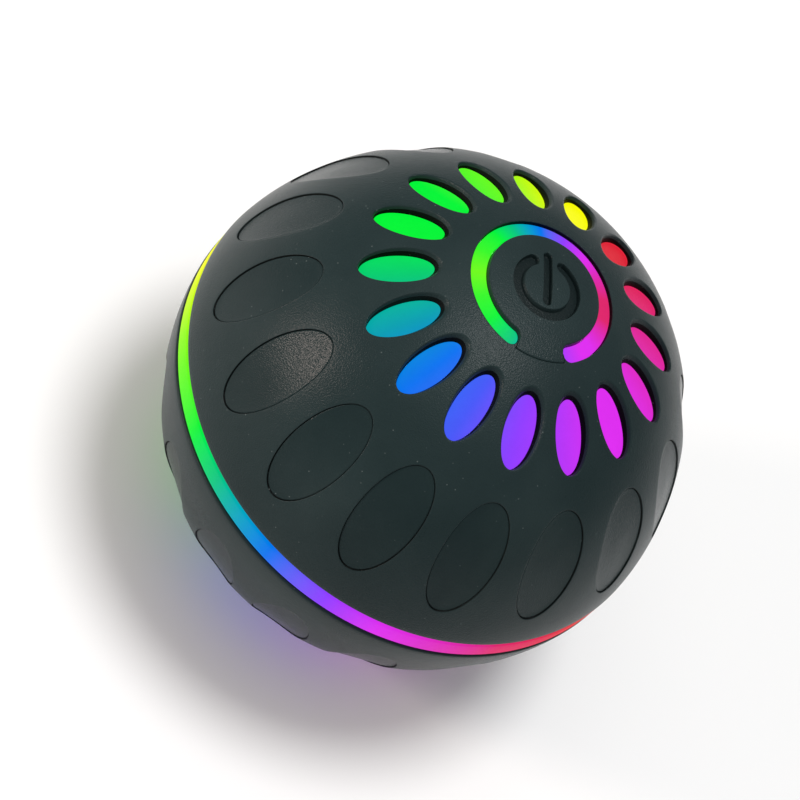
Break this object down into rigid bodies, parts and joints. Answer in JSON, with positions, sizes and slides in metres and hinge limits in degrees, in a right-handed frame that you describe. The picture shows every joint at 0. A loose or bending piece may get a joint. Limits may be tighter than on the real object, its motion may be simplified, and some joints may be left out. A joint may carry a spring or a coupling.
{
  "type": "interactive dog ball",
  "caption": "Self-rolling dog ball with two black silicone covers over glowing half shells, a lit power button on top, a charging port below and a motor-driven weight inside.",
  "frame": {"origin": "centre of the ball", "axes": "+Z through the power button, -Y towards the side where the glowing arc round the button is open, +X to the right of that side"},
  "size_m": [0.0646, 0.0646, 0.0642],
  "materials": {
    "silicone": "matte",
    "lens": "translucent, frosted, lit from inside",
    "chassis": "moulded",
    "gear_plastic": "natural acetal",
    "steel": "plated",
    "weight_metal": "die cast",
    "brass": "machined",
    "board": "solder mask",
    "chip": "moulded",
    "led_body": "moulded",
    "cell": "foil",
    "foam": "foam tape",
    "wire_red": "insulation",
    "wire_black": "insulation"
  },
  "bodies": {
    "ball": {"upper_cover": "silicone", "lower_cover": "silicone", "light_ring": "lens", "upper_shell": "lens", "lower_shell": "lens", "button_light_arc": "lens", "main_frame": "chassis", "gear_cover": "chassis", "upper_bush": "brass", "lower_bush": "brass", "motor_can": "steel", "gear_pin": "steel", "battery": "cell", "battery_tape": "foam", "battery_connector": "led_body", "battery_lead_red": "wire_red", "battery_lead_black": "wire_black", "motor_lead_red": "wire_red", "motor_lead_black": "wire_black", "led_cable": "chip", "charge_cable": "chip", "led_board": "board", "led_1": "led_body", "led_2": "led_body", "led_3": "led_body", "led_4": "led_body", "power_switch": "chip", "main_board": "board", "controller_chip": "chip", "shock_sensor": "steel", "charge_board": "board", "charge_socket": "steel", "socket_tongue": "chip", "lower_led_1": "led_body", "lower_led_2": "led_body", "shell_screw_1": "steel", "shell_screw_2": "steel", "shell_screw_3": "steel", "shell_screw_4": "steel", "gear_cover_screw_1": "steel", "gear_cover_screw_2": "steel", "gear_cover_screw_3": "steel", "led_board_screw_1": "steel", "led_board_screw_2": "steel", "led_board_screw_3": "steel", "main_board_screw_1": "steel", "main_board_screw_2": "steel", "main_board_screw_3": "steel", "charge_board_screw_1": "steel", "charge_board_screw_2": "steel"},
    "roll_drive": {"roll_weight": "weight_metal", "output_shaft": "steel", "output_gear": "gear_plastic"},
    "reduction_gear": {"compound_gear": "gear_plastic"},
    "motor_rotor": {"motor_shaft": "steel", "motor_pinion": "brass"},
    "button": {"power_button": "silicone", "button_stem": "chassis"},
    "plunger": {"switch_plunger": "chassis"},
    "cap": {"port_cap": "silicone"}
  },
  "joints": [
    {"name": "weight_spin", "type": "hinge", "parent": "ball", "child": "roll_drive", "pos_m": [0, 0, -0.0132], "axis": [0, 0, 1], "continuous": true},
    {"name": "reduction_spin", "type": "hinge", "parent": "ball", "child": "reduction_gear", "pos_m": [0.01355, 0, -0.004], "axis": [0, 0, 1], "continuous": true},
    {"name": "motor_spin", "type": "hinge", "parent": "ball", "child": "motor_rotor", "pos_m": [0.0065, -0.0104, 0], "axis": [0, 0, 1], "continuous": true},
    {"name": "button_press", "type": "slide", "parent": "ball", "child": "button", "axis": [0, 0, -1], "range_m": [0, 0.0006], "stiffness_N_per_m": 1500, "springref_m": -0.0003},
    {"name": "switch_press", "type": "slide", "parent": "ball", "child": "plunger", "axis": [0, 0, -1], "range_m": [0, 0.0006]},
    {"name": "port_cap_hinge", "type": "hinge", "parent": "ball", "child": "cap", "pos_m": [0, 0.0094, -0.0307], "axis": [1, 0, 0], "range_deg": [0, 110]}
  ],
  "couplings": [
    {"joint": "reduction_spin", "follows": "weight_spin", "ratio": -4.4},
    {"joint": "motor_spin", "follows": "weight_spin", "ratio": 17.6},
    {"joint": "switch_press", "follows": "button_press", "ratio": 1}
  ]
}
